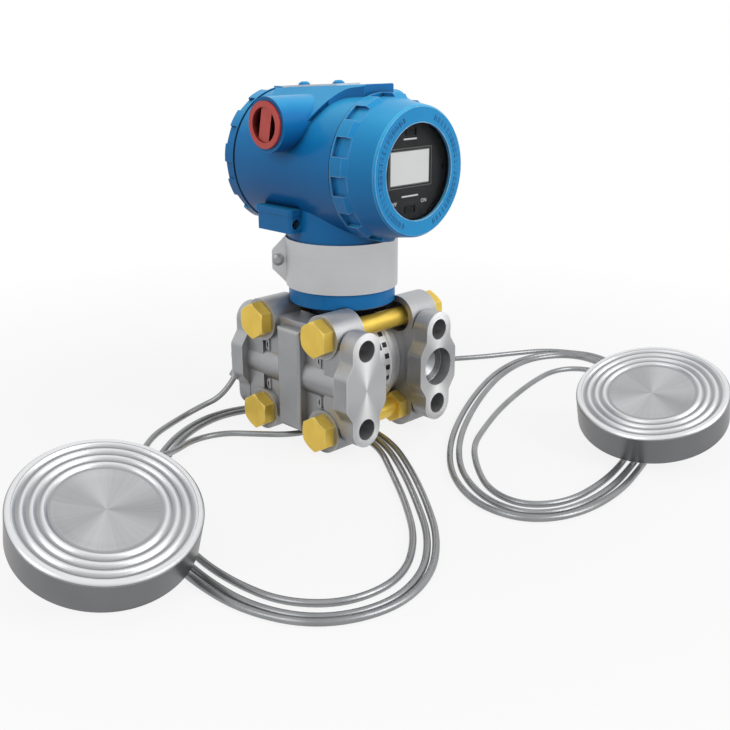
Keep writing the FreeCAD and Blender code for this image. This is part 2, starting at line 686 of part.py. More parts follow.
# Conduit plugs, pulled out sideways
for name, side in (("left_conduit_plug", -1), ("right_conduit_plug", 1)):
    outward = axis_x * side
    start = vec(side * (conduit_boss_x - plug_disc_seat), conduit_y, conduit_z)
    disc = rod(plug_disc_radius, start, outward, plug_face_x - conduit_boss_x + plug_disc_seat)
    stem = rod(conduit_bore_radius - plug_clearance, start, outward * -1, plug_stem_length)
    cup = rod(plug_cup_radius, vec(side * plug_face_x, conduit_y, conduit_z), outward * -1, plug_cup_depth)
    grip = box((-plug_cup_depth, -plug_grip_width / 2, -plug_cup_radius),
               (-plug_grip_sink, plug_grip_width / 2, plug_cup_radius))
    grip.rotate(origin, axis_x, plug_grip_turn)
    grip = grip if side > 0 else grip.mirror(origin, axis_x)
    grip.translate(vec(side * plug_face_x, conduit_y, conduit_z))
    save(name, joined(disc, stem).cut(cup.cut(grip)))


def notched(shape, low, high):
    """Cover with grip notches between its lugs."""
    floor = cover_body_radius + notch_floor_rise
    notch = box((-lug_notch_width / 2, low, floor), (lug_notch_width / 2, high, 2 * lug_radius))
    notch.translate(barrel_line)
    step = 360 / lug_count
    return shape.cut([notch.rotated(barrel_line, axis_y, lug_phase + step * k) for k in range(lug_count)])


# Front cover with its window
cover_bore_radius = cover_thread_radius + cover_thread_clearance
cover_back_y = front_seam_y - seam_gap
lug_front_y = cover_back_y - front_lug_length
seal_bore_radius = cover_thread_radius + cover_seal_play
seal_height = seam_gap - cover_seal_play
glass_bore_radius = glass_radius + glass_clearance
lug_foot_y = lug_front_y - lug_slope
front_profile = [(cover_back_y, cover_bore_radius), (cover_back_y, lug_radius), (lug_front_y, lug_radius),
                 (lug_foot_y, cover_body_radius), (front_face_y + cover_edge, cover_edge_radius),
                 (front_face_y, front_face_radius), (front_face_y, window_radius),
                 (front_face_y + window_lip, window_radius), (front_face_y + window_lip, glass_bore_radius),
                 (glass_back_y, glass_bore_radius), (glass_back_y, retainer_outer_radius),
                 (cover_hollow_y, retainer_outer_radius), (cover_hollow_y, cover_hollow_radius),
                 (front_thread_y - cover_gap, cover_hollow_radius),
                 (front_thread_y - cover_gap, cover_bore_radius)]
front_turned = lathe(front_profile, barrel_line, axis_y)
save("front_cover", notched(front_turned, front_face_y, cover_back_y - lug_rim))
save("window_gasket", ring(window_radius + gasket_thickness, glass_radius, barrel_line, axis_y,
                           front_face_y + window_lip, glass_front_y))
save("window_glass", rod(glass_radius, vec(0, glass_front_y, barrel_axis_z), axis_y, glass_thickness))
save("window_retainer", ring(retainer_inner_radius, retainer_outer_radius, barrel_line, axis_y, glass_back_y,
                             glass_back_y + retainer_length))
save("front_cover_seal", ring(seal_bore_radius, cover_seal_radius, barrel_line, axis_y,
                              front_seam_y - seal_height, front_seam_y))

# Rear cover
rear_back_y = rear_seam_y + seam_gap
rear_profile = [(rear_back_y, cover_bore_radius), (rear_back_y, lug_radius),
                (rear_back_y + rear_lug_length, lug_radius), (rear_face_y, rear_face_radius),
                (rear_face_y, 0), (rear_face_y - rear_face_thickness, 0),
                (rear_face_y - rear_face_thickness, chamber_wall_radius),
                (rear_thread_y + cover_gap, chamber_wall_radius),
                (rear_thread_y + cover_gap, cover_bore_radius)]
rear_turned = lathe(rear_profile, barrel_line, axis_y)
save("rear_cover", notched(rear_turned, rear_back_y + lug_rim, rear_face_y))
save("rear_cover_seal", ring(seal_bore_radius, cover_seal_radius, barrel_line, axis_y,
                             rear_seam_y, rear_seam_y + seal_height))

# Electronics module and the display on it
module = rod(module_radius, vec(0, module_front_y, barrel_axis_z), axis_y, bulkhead_front_y - module_front_y)
save("electronics_module", module)
display = lathe([(display_rim_y, 0), (display_rim_y, display_rim_radius),
                 (module_front_y, display_rim_radius),
                 (module_front_y, display_rim_radius - display_wall),
                 (display_rim_y + display_rim_thickness, display_rim_radius - display_wall),
                 (display_rim_y + display_rim_thickness, 0)], barrel_line, axis_y)
plateau = box((-plateau_half_x, plateau_y, barrel_axis_z - plateau_half_z),
              (plateau_half_x, display_rim_y, barrel_axis_z + plateau_half_z))
plateau_edges = [e for e in plateau.Edges if abs(e.Vertexes[0].Point.x - e.Vertexes[1].Point.x) < cover_gap
                 and abs(e.Vertexes[0].Point.z - e.Vertexes[1].Point.z) < cover_gap]
plateau = plateau.makeChamfer(plateau_corner, plateau_edges)
lcd_z = barrel_axis_z + lcd_rise_z
lcd = box((-lcd_half_x, plateau_y + lcd_sink, lcd_z - lcd_half_z),
          (lcd_half_x, plateau_y + lcd_sink + lcd_depth, lcd_z + lcd_half_z))
lcd_pocket = box((-lcd_half_x, plateau_y, lcd_z - lcd_half_z),
                 (lcd_half_x, plateau_y + lcd_sink + lcd_depth, lcd_z + lcd_half_z))
cuts = [lcd_pocket]
display_screws = []
for side in (-1, 1):
    start = vec(side * display_screw_x, display_rim_y, barrel_axis_z)
    shank = rod(display_screw_radius, start, axis_y, display_screw_depth)
    head = rod(display_head_radius, start, axis_y * -1, display_head_height)
    cuts.append(shank)
    display_screws.append(joined(head, shank))
for lift in (-switch_z, switch_z):
    z = barrel_axis_z + lift
    cuts.append(box((-switch_slot_half_x, plateau_y, z - switch_slot_half_z),
                    (switch_slot_half_x, plateau_y + switch_slot_depth, z + switch_slot_half_z)))
save("display_module", joined(display, plateau).cut(cuts))
save("display_glass", lcd)
save("display_screws", *display_screws)
for name, lift in (("alarm_switch", switch_z), ("security_switch", -switch_z)):
    z = barrel_axis_z + lift
    left = -(switch_width + switch_travel) / 2
    half = switch_slot_half_z - switch_side_play
    save(name, box((left, plateau_y - switch_proud, z - half),
                   (left + switch_width, plateau_y + switch_slot_depth, z + half)))

# Terminal block and its screws in the rear chamber
terminal_face_y = bulkhead_rear_y + block_disc_length
block = rod(block_disc_radius, vec(0, bulkhead_rear_y, barrel_axis_z), axis_y, block_disc_length)
terminal_screws = []
holes = []
for k in range(terminal_count):
    start = vec((k - (terminal_count - 1) / 2) * terminal_pitch, terminal_face_y, barrel_axis_z)
    shank = rod(terminal_screw_radius, start, axis_y * -1, terminal_screw_depth)
    head = rod(terminal_head_radius, start, axis_y, terminal_head_height)
    slot = box((-terminal_slot_width / 2, terminal_head_height / 2, -terminal_head_radius),
               (terminal_slot_width / 2, terminal_head_height, terminal_head_radius))
    slot.translate(start)
    holes.append(shank)
    terminal_screws.append(joined(head, shank).cut(slot))
save("terminal_block", block.cut(holes))
save("terminal_screws", *terminal_screws)

# Remote seal, drawn with its face up at the origin
seal_radius = seal_diameter / 2
sheet_radius = diaphragm_diameter / 2
seat_z = -diaphragm_seat
seal_body = lathe([(-seal_thickness, 0), (-seal_thickness, seal_radius), (-seal_edge, seal_radius),
                   (0, seal_radius - seal_edge), (0, sheet_radius + diaphragm_play),
                   (seat_z, sheet_radius + diaphragm_play), (seat_z, 0)], origin, axis_z)
sheet_z = seat_z + diaphragm_sheet
disc_radius = disc_diameter / 2
wave = (sheet_radius - disc_radius) / (2 * corrugation_count + 1)
sheet_profile = [(seat_z, 0), (seat_z, sheet_radius), (sheet_z, sheet_radius)]
for k in range(corrugation_count):
    outer = sheet_radius - wave * (2 * k + 1)
    sheet_profile.append((sheet_z, outer))
    sheet_profile.append((sheet_z + corrugation_height, outer - wave / 2))
    sheet_profile.append((sheet_z, outer - wave))
sheet_profile.append((sheet_z, disc_radius))
sheet_profile.append((sheet_z - disc_drop, disc_radius - disc_drop))
sheet_profile.append((sheet_z - disc_drop, 0))
seal_sheet = lathe(sheet_profile, origin, axis_z)


def seal_placement(centre, tilt, heading, lift):
    """Placement that leans the seal on its connector, face towards the reader."""
    lean = math.radians(tilt)
    height = lift + seal_radius * math.sin(lean) + seal_thickness * math.cos(lean)
    turn = FreeCAD.Rotation(axis_z, heading).multiply(FreeCAD.Rotation(axis_y, -tilt))
    return FreeCAD.Placement(vec(centre[0], centre[1], height), turn)


def connector(bearing, outlet_bearing):
    """Welded connector on the seal's back with the sleeve that takes the capillary."""
    x = connector_place * math.cos(math.radians(bearing))
    y = connector_place * math.sin(math.radians(bearing))
    post = rod(connector_radius, vec(x, y, -seal_thickness), axis_z * -1, connector_length)
    outward = vec(math.cos(math.radians(outlet_bearing)), math.sin(math.radians(outlet_bearing)), 0)
    start = vec(x, y, -seal_thickness - outlet_drop)
    sleeve = rod(outlet_radius, start, outward, outlet_reach)
    return joined(post, sleeve), start + outward * outlet_reach, outward


def rounded(points, closed):
    """Straight runs joined by tangent arcs; returns the edges and the smallest arc radius."""
    count = len(points)
    corners = range(count) if closed else range(1, count - 1)
    starts = {}
    ends = {}
    arcs = {}
    radii = []
    for k in corners:
        here = points[k]
        back = points[k - 1] - here
        ahead = points[(k + 1) % count] - here
        reach = bend_share * min(back.Length, ahead.Length)
        half_turn = (math.pi - back.getAngle(ahead)) / 2
        radius = reach / math.tan(half_turn)
        first = here + back.normalize() * reach
        last = here + ahead.normalize() * reach
        middle = (back + ahead).normalize()
        apex = here + middle * (radius / math.cos(half_turn) - radius)
        arcs[k] = Part.Arc(first, apex, last).toShape()
        ends[k] = first
        starts[k] = last
        radii.append(radius)
    edges = []
    for k in range(count if closed else count - 1):
        if k in arcs:
            edges.append(arcs[k])
        far = (k + 1) % count
        edges.append(Part.makeLine(starts.get(k, points[k]), ends.get(far, points[far])))
    return edges, min(radii)


def tube(name, points):
    """Capillary laid through its points."""
    edges, radius = rounded(points, False)
    spine = Part.Wire(edges)
    section = Part.Wire(Part.Circle(points[0], points[1] - points[0], capillary_radius).toShape())
    solid = spine.makePipeShell([section], True, False)
    print(name, "length", round(spine.Length, 1), "smallest radius", round(radius, 1),
          "volume ratio", round(solid.Volume / (math.pi * capillary_radius ** 2 * spine.Length), 3))
    save(name, solid)


def coil(name, points):
    """Outer shape of a flat coil whose turns lie side by side inwards from the outermost."""
    edges, radius = rounded([vec(x, y, 0) for x, y in points], True)
    outline = Part.Wire(edges)
    half = capillary_radius + coil_play
    outside = Part.Face(outline.makeOffset2D(half))
    inside = Part.Face(outline.makeOffset2D(-(coil_turns - 1) * strand_pitch - half))
    print(name, "turn length", round(outline.Length, 1), "smallest radius", round(radius, 1))
    save(name, outside.cut(inside).extrude(axis_z * coil_height))


def remote_side(side, x, nozzle, lead, turns, tail, placement, bearing, outlet_bearing):
    """Adapter, capillary and seal of one side."""
    mouth = vec(x, pad_face_y, port_height)
    down = vec(*nozzle).normalize()
    middle = mouth + axis_y * (adapter_thickness / 2)
    inner_end = adapter_end_play - port_depth
    body = lathe([(inner_end, 0), (inner_end, port_radius - adapter_fit),
                  (0, port_radius - adapter_fit), (0, adapter_radius), (adapter_thickness, adapter_radius),
                  (adapter_thickness, 0)], mouth, axis_y)
    save(side + "_capillary_adapter", joined(body, rod(nozzle_radius, middle, down, nozzle_reach)))
    start = middle + down * nozzle_reach
    tube(side + "_capillary_lead", [start, start + down * nozzle_end_run] + [vec(*p) for p in lead])
    coil(side + "_capillary_coil", turns)
    post, outlet, outward = connector(bearing, outlet_bearing)
    outlet = placement.multVec(outlet)
    outward = placement.Rotation.multVec(outward)
    last = outlet + outward * nozzle_end_run
    print(side, "nozzle end", [round(c, 2) for c in start], "outlet", [round(c, 2) for c in outlet],
          "before it", [round(c, 2) for c in last])
    tube(side + "_capillary_tail", [vec(*p) for p in tail] + [last, outlet])
    for name, shape in (("body", seal_body), ("diaphragm", seal_sheet), ("connector", post)):
        placed = shape.copy()
        placed.Placement = placement.multiply(shape.Placement)
        save(side + "_seal_" + name, placed)


remote_side("high", -port_x, high_nozzle, high_lead, high_coil, high_tail,
            seal_placement(high_seal_centre, high_seal_tilt, high_seal_heading, high_seal_lift),
            high_connector_bearing, high_outlet_bearing)
remote_side("low", port_x, low_nozzle, low_lead, low_coil, low_tail,
            seal_placement(low_seal_centre, low_seal_tilt, low_seal_heading, low_seal_lift),
            low_connector_bearing, low_outlet_bearing)
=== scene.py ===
# %% [markdown]
# # A pressure transmitter with two remote seals
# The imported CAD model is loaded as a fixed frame, in metres. Blender gives it its looks:
# the capillaries' smooth lines, the corrugated diaphragms, small surface detail, and a finish
# for every piece. Nothing here moves or resizes what the CAD made.

# %% Load the frame
import bpy
import numpy as np
from mathutils import Euler, Matrix, Vector


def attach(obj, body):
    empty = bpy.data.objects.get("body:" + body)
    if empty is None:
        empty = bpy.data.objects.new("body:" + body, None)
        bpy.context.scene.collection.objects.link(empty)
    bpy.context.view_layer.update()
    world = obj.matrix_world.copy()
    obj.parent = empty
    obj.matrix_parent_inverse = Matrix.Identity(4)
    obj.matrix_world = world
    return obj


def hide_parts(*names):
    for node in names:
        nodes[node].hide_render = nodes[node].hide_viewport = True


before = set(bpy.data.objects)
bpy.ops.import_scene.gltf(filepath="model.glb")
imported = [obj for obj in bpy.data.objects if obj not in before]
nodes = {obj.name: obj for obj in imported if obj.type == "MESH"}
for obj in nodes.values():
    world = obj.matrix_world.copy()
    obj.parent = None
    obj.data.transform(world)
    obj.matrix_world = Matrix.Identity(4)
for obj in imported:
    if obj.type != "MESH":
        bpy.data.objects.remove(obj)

scene = bpy.context.scene
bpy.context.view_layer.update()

# %% [markdown]
# ## Camera
# The picture looks down on the instrument from its front left. A camera could be placed by eye,
# but here its place was worked out from the flange's known hole spacing, so that every piece of
# the CAD model falls where the picture shows it. Lens shift and depth of field stay off.

# %% Camera
camera_data = bpy.data.cameras.new("camera")
camera_data.sensor_width = 36.0
camera_data.lens = 48.69
camera = bpy.data.objects.new("camera", camera_data)
camera.location = (-0.35367, -0.36992, 0.20597)
sight = Vector((0.00863, -0.00865, 0.03291)) - camera.location
camera.rotation_euler = sight.to_track_quat("-Z", "Y").to_euler()
scene.collection.objects.link(camera)
scene.camera = camera
scene.view_settings.view_transform = "Standard"
print("camera", round(sight.length, 3), "m from its target")

# %% [markdown]
# ## Shader arithmetic
# A finish is a formula: a mask here, a ripple there. Wiring Math nodes one by one hides that
# formula, so one small class wraps an output socket and lets Python's operators add the nodes.
# Any other node comes from its `node` method: type, settings, sockets.


# %% A socket that can be added, multiplied and compared
class Wire:
    """An output socket of a shader tree; arithmetic on it adds Math nodes to the tree."""

    def __init__(self, tree, socket=None):
        self.tree = tree
        self.socket = socket

    def node(self, kind, settings, sockets, output=0):
        """Adds a node: its settings come first, a ramp's stops among them, then its sockets' values or wires."""
        made = self.tree.nodes.new(kind)
        for key, value in settings.items():
            if key == "stops":
                ramp = made.color_ramp.elements
                ramp.remove(ramp[1])
                ramp[0].position = value[0][0]
                ramp[0].color = (*value[0][1], 1.0)
                for place, colour in value[1:]:
                    ramp.new(place).color = (*colour, 1.0)
            else:
                setattr(made, key, value)
        for key, value in sockets.items():
            if isinstance(value, Wire):
                self.tree.links.new(value.socket, made.inputs[key])
            else:
                made.inputs[key].default_value = value
        return Wire(self.tree, made.outputs[output])

    def math(self, operation, *values):
        return self.node("ShaderNodeMath", {"operation": operation}, dict(enumerate(values)))

    def __add__(self, other):
        return self.math("ADD", self, other)

    def __radd__(self, other):
        return self.math("ADD", other, self)

    def __sub__(self, other):
        return self.math("SUBTRACT", self, other)

    def __rsub__(self, other):
        return self.math("SUBTRACT", other, self)

    def __mul__(self, other):
        return self.math("MULTIPLY", self, other)

    def __rmul__(self, other):
        return self.math("MULTIPLY", other, self)

    def __pow__(self, other):
        return self.math("POWER", self, other)

    def __gt__(self, other):
        return self.math("GREATER_THAN", self, other)

    def __lt__(self, other):
        return self.math("LESS_THAN", self, other)

    def __abs__(self):
        return self.math("ABSOLUTE", self)

    def clear(self, low, high):
        """0 below low, 1 above high, and a straight climb between them."""
        return self.node("ShaderNodeMapRange", {}, {0: self, 1: low, 2: high})


print("wires add, subtract, multiply, raise and compare")

# %% [markdown]
# ## Building blocks of a finish
# Each finish starts from a Principled shader. Its constants are set on the shader itself, and only
# the sockets that an export can bake are fed by wires. Noise in Object coordinates is laid in
# metres, so a grain of half a millimetre has a scale near two thousand on every piece.


# %% Finish helpers
def finish(name, **constants):
    """A new material with a Principled shader whose constant sockets are set; returns it with a wire for its tree."""
    material = bpy.data.materials.new(name)
    material.use_nodes = True
    shader = material.node_tree.nodes["Principled BSDF"]
    for key, value in constants.items():
        shader.inputs[key.replace("_", " ")].default_value = value
    return material, shader, Wire(material.node_tree)


def feed(shader, **wires):
    """Links wires to the shader's sockets."""
    for key, wire in wires.items():
        wire.tree.links.new(wire.socket, shader.inputs[key.replace("_", " ")])


def place_of(tree, centre=(0, 0, 0), turn=(0, 0, 0), stretch=(1, 1, 1)):
    """Object coordinates, seen from a centre in metres, turned back by Euler angles and divided by a stretch."""
    spot = tree.node("ShaderNodeTexCoord", {}, {}, "Object")
    return tree.node("ShaderNodeMapping", {"vector_type": "TEXTURE"},
                     {"Vector": spot, "Location": centre, "Rotation": turn, "Scale": stretch})


def axes_of(tree, spot):
    """The three coordinates of a place as wires."""
    return [tree.node("ShaderNodeSeparateXYZ", {}, {"Vector": spot}, axis) for axis in range(3)]


def noise(tree, spot, scale, detail=2.0, rough=0.5):
    """Soft noise from 0 to 1 at a place, with about `scale` grains to the metre."""
    return tree.node("ShaderNodeTexNoise", {},
                     {"Vector": spot, "Scale": scale, "Detail": detail, "Roughness": rough})


def mixed(tree, share, first, second):
    """Colour that goes from the first to the second as the share goes from 0 to 1."""
    colours = [(*c, 1.0) if isinstance(c, tuple) else c for c in (first, second)]
    return tree.node("ShaderNodeMix", {"data_type": "RGBA"}, {0: share, 6: colours[0], 7: colours[1]}, 2)


def relief(tree, height, depth):
    """A normal from a height wire of 0 to 1, standing `depth` metres high."""
    return tree.node("ShaderNodeBump", {}, {"Height": height, "Distance": depth, "Strength": 1.0})


def edges(tree, width):
    """1 along sharp edges and 0 on plain faces: how far the normal of an edge rounded to `width` metres turns away
    from the true normal."""
    rounded = tree.node("ShaderNodeBevel", {"samples": 6}, {"Radius": width})
    true = tree.node("ShaderNodeNewGeometry", {}, {}, "Normal")
    kept = tree.node("ShaderNodeVectorMath", {"operation": "DOT_PRODUCT"}, {0: rounded, 1: true}, "Value")
    return (1 - kept).clear(0.02, 0.25)


def shade_in_hollows(tree, reach):
    """1 in corners and gaps narrower than `reach` metres, where callers paint shade, and 0 on open faces."""
    open_sky = tree.node("ShaderNodeAmbientOcclusion", {"samples": 6}, {"Distance": reach}, "AO")
    return (1 - open_sky).clear(0.25, 0.85)


def upward(tree):
    """How far a face looks up: 0 for an underside, 1 for a top."""
    facing = tree.node("ShaderNodeNewGeometry", {}, {}, "Normal")
    return tree.node("ShaderNodeSeparateXYZ", {}, {"Vector": facing}, 2).clear(-0.8, 0.8)


def dress(material, *names):
    """Gives a finish to CAD nodes."""
    for name in names:
        for slot in nodes[name].material_slots:
            slot.material = material
    print(material.name, "on", ", ".join(names))


# %% [markdown]
# ## Stage and light
# The instrument stands on white. A floor lit to white by lamps would burn out every pale metal
# face, so the floor and the world show white only to the camera and to mirror and glass rays, and
# give plain light to everything else. Near the instrument the floor keeps a share of its own
# shading, and with that the soft shadow.

# %% Floor, world and lamps
floor_mesh = bpy.data.meshes.new("floor")
floor_half = 6.0
floor_mesh.from_pydata((floor_half * np.array([(-1, -1, 0), (1, -1, 0), (1, 1, 0), (-1, 1, 0)])).tolist(), [],
                       [(0, 1, 2, 3)])
floor = bpy.data.objects.new("floor", floor_mesh)
scene.collection.objects.link(floor)


def seen_directly(tree):
    """1 for rays from the camera, from a mirror or through glass, and 0 for light that scatters."""
    rays = [tree.node("ShaderNodeLightPath", {}, {}, name)
            for name in ("Is Camera Ray", "Is Glossy Ray", "Is Transmission Ray")]
    return tree.math("MAXIMUM", tree.math("MAXIMUM", rays[0], rays[1]), rays[2])


floor_finish = bpy.data.materials.new("floor_white")
floor_finish.use_nodes = True
floor_tree = Wire(floor_finish.node_tree)
floor_finish.node_tree.nodes.remove(floor_finish.node_tree.nodes["Principled BSDF"])
spot = place_of(floor_tree)
grain = noise(floor_tree, spot, 3.0)
x, y, z = axes_of(floor_tree, spot)
far = ((x * x + y * y) ** 0.5).clear(0.15, 0.45)
matt = floor_tree.node("ShaderNodeBsdfDiffuse", {},
                       {"Color": mixed(floor_tree, grain, (0.52, 0.52, 0.52), (0.56, 0.56, 0.56))})
white = floor_tree.node("ShaderNodeEmission", {}, {"Color": (1, 1, 1, 1), "Strength": 1.0})
white_near = 0.86
share = seen_directly(floor_tree) * (white_near + (1 - white_near) * far)
blend = floor_tree.node("ShaderNodeMixShader", {}, {0: share, 1: matt, 2: white})
floor_out = floor_finish.node_tree.nodes["Material Output"]
floor_finish.node_tree.links.new(blend.socket, floor_out.inputs["Surface"])
floor_mesh.materials.append(floor_finish)

world = bpy.data.worlds.new("studio")
scene.world = world
world.use_nodes = True
world_tree = Wire(world.node_tree)
background = world.node_tree.nodes["Background"]
background.inputs["Color"].default_value = (1, 1, 1, 1)
soft_level = 0.45
level = seen_directly(world_tree) * (1 - soft_level) + soft_level
world.node_tree.links.new(level.socket, background.inputs["Strength"])


def lamp(name, place, aim, size, power, mirrored):
    """A square soft lamp at a place, turned to its aim; metal shows it only where it is mirrored."""
    data = bpy.data.lights.new(name, "AREA")
    data.size = size
    data.energy = power
    made = bpy.data.objects.new(name, data)
    made.location = place
    made.visible_glossy = mirrored
    made.rotation_euler = (Vector(aim) - Vector(place)).to_track_quat("-Z", "Y").to_euler()
    scene.collection.objects.link(made)
    print("lamp", name, power, "W")


lamp("front_lamp", (0.35, -1.1, 0.75), (0, 0, 0.08), 0.8, 9.0, True)
lamp("left_lamp", (-1.2, -0.1, 0.8), (0, 0, 0.08), 0.7, 4.0, True)
lamp("top_lamp", (0.1, 0.2, 1.4), (0, 0, 0.05), 0.9, 5.0, False)

# %% [markdown]
# ## Capillaries
# Each capillary is a thin steel tube, filled with oil, that joins a flange to its seal. It leaves
# the adapter at the back of the flange, lies on the table in two loose turns and ends in the
# seal's connector. A mesh tube along the CAD's runs and arcs would look like bent wire. A NURBS
# curve with the route's points as control points gives the even sweep of a springy tube.

# %% Routes of the capillaries, in millimetres
radius = 1.6
table = 1.7
high_start = [(-35.15, 51.24, 22.06), (-40.91, 53.88, 11.87), (-53, 63, 5), (-70, 62, table), (-88, 54, table),
              (-104, 40.5, table), (-117, 26, table), (-128, 8, table)]
high_round = [(-123, 16), (-142, -12), (-155, -46), (-161, -82), (-160, -114), (-147, -140), (-121, -152),
              (-93, -147), (-67, -128), (-45, -102), (-23, -72), (-5, -42), (2, -10), (-2, 24), (-18, 50),
              (-48, 60), (-84, 48)]
high_spread = [4.4, 4.4, 4.4, 4.2, 3.7, 3.6, 3.6, 3.6, 3.8, 4.4, 4.4, 4.4, 4.5, 4.8, 5.0, 4.8, 4.4]
high_end = [(-138.0, -21.6, table), (-143.4, -45, table), (-149.3, -70, table), (-150.3, -95, table),
            (-145.8, -120, table), (-128.3, -137.5, table), (-101, -139.3, table), (-75, -122.3, table),
            (-52.5, -96, table), (-33.5, -69.5, table), (-15.4, -43.5, table), (-10.5, -22, table), (-17, -3, table),
            (-36, 2, table), (-49, 17, table), (-60, 30, table), (-77, 34, table), (-95, 24, 4), (-112, 8, 12),
            (-128, -2, 18.5), (-143.86, -11.35, 21.35), (-152.01, -19.12, 17.22)]
low_start = [(34.63, 51.74, 21.91), (40.02, 54.73, 11.61), (52, 63, 5.5), (71, 60, table), (92, 49, table),
             (113, 32, table), (138, 15, table), (162, 3, table), (182, -8, table), (192, -26, table)]
low_round = [(186, -14), (196, -38), (187, -66), (162, -98), (132, -122), (97, -140), (61, -151), (26, -159),
             (-6, -158), (-26, -146), (-31, -126), (-24, -105), (-8, -84), (18, -62), (50, -42), (85, -24),
             (122, -9), (158, -3)]
low_spread = [4.4, 4.4, 4.4, 4.4, 4.4, 4.4, 4.4, 4.6, 5.0, 6.0, 6.4, 6.0, 5.0, 4.4, 4.4, 4.4, 4.4, 4.4]
low_end = [(187.6, -36, table), (180.2, -58, table), (165, -79, table), (146, -98, table), (124, -112, table),
           (96, -127, table), (65.5, -140, table), (32.5, -147.6, table), (1, -148, table), (-17, -135, table),
           (-15, -114, table), (2, -93, table), (22, -75, table), (46, -64, table), (72, -53.5, table),
           (100, -45, table), (128, -38.5, table), (150, -36, table), (165, -43, table), (170, -59, table),
           (160, -75, 5), (140, -80, 12), (119.26, -96.02, 16.4), (111.83, -104.81, 13.02)]


def turns(outline, spread, count):
    """Points of a flat coil: the outline is followed round after round, and in the last third of each round the
    strand drifts inwards by the spread of its place, along the outline's inward normal."""
    ring = np.array(outline, float)
    step = np.arange(1, count * len(ring) + 1)
    here = step % len(ring)
    along = ring[(here + 1) % len(ring)] - ring[here - 1]
    along /= np.linalg.norm(along, axis=1)[:, None]
    area = np.sum(ring[:, 0] * np.roll(ring[:, 1], -1) - ring[:, 1] * np.roll(ring[:, 0], -1))
    inward = np.sign(area) * np.c_[-along[:, 1], along[:, 0]]
    made = step / len(ring)
    drift = np.floor(made) + np.clip(3 * (made % 1) - 2, 0, 1)
    flat = ring[here] + inward * (np.array(spread)[here] * drift)[:, None]
    return np.c_[flat, np.full(len(flat), table)]


high_route = np.vstack([high_start, turns(high_round, high_spread, 2), high_end]) / 1000
low_route = np.vstack([low_start, turns(low_round, low_spread, 2), low_end]) / 1000
print("control points:", len(high_route), "and", len(low_route))


# %% Capillaries as smooth curves
def capillary(name, side, route, length):
    """A NURBS curve with the route's points as its control points and a round section; it stands for the side's
    CAD tubes. The bevel is one metre and each point's radius scales it, so that the curve's box is true."""
    curve = bpy.data.curves.new(name, "CURVE")
    curve.dimensions = "3D"
    curve.bevel_depth = 1.0
    curve.bevel_resolution = 4
    curve.resolution_u = 8
    curve.use_fill_caps = True
    spline = curve.splines.new("NURBS")
    spline.points.add(len(route) - 1)
    spline.points.foreach_set("co", np.c_[route, np.ones(len(route))].ravel())
    spline.points.foreach_set("radius", np.full(len(route), radius / 1000))
    spline.order_u = 3
    spline.use_endpoint_u = True
    made = bpy.data.objects.new(name, curve)
    scene.collection.objects.link(made)
    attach(made, "sensor_module")
    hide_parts(*[side + "_capillary_" + part for part in ("lead", "coil", "tail")])
    print(name, "of", length, "m")
    return made


high_capillary = capillary("high_capillary", "high", high_route, 1.72)
low_capillary = capillary("low_capillary", "low", low_route, 1.88)

# %% Drawn steel of the capillaries
drawn, shader, tree = finish("drawn_steel", Metallic=0.85, Coat_Weight=0.0)
spot = place_of(tree)
cloud = noise(tree, spot, 60.0)
scratch = noise(tree, spot, 900.0, 4.0)
feed(shader, Base_Color=mixed(tree, cloud, (0.20, 0.205, 0.212), (0.36, 0.365, 0.372)),
     Roughness=0.28 + 0.14 * scratch, Normal=relief(tree, scratch, 0.00003))
for made in (high_capillary, low_capillary):
    made.data.materials.append(drawn)
print("capillaries drawn in steel")

# %% [markdown]
# ## Blue enamel
# Housing, neck and covers are aluminium castings with a thick glossy enamel. Enamel is never quite
# even: it pools a little, shows a fine orange peel, and has a clear glossy skin over the colour.
# Sharp edges get a paler line, partly wear and partly painted highlight. Tops are painted lighter and
# undersides darker, as painted light and shade, and corners and gaps get painted shade.
# One flat blue would look like plastic, and a painted picture would need a place for every face.
# So the tone is a ramp over facing and noise, and the edges come from the shape itself. The window
# cover is a shade lighter; its front face gets a painted highlight, and its edges a near-white one.
# The neck's stem, between the flanges, is painted black as painted shade.

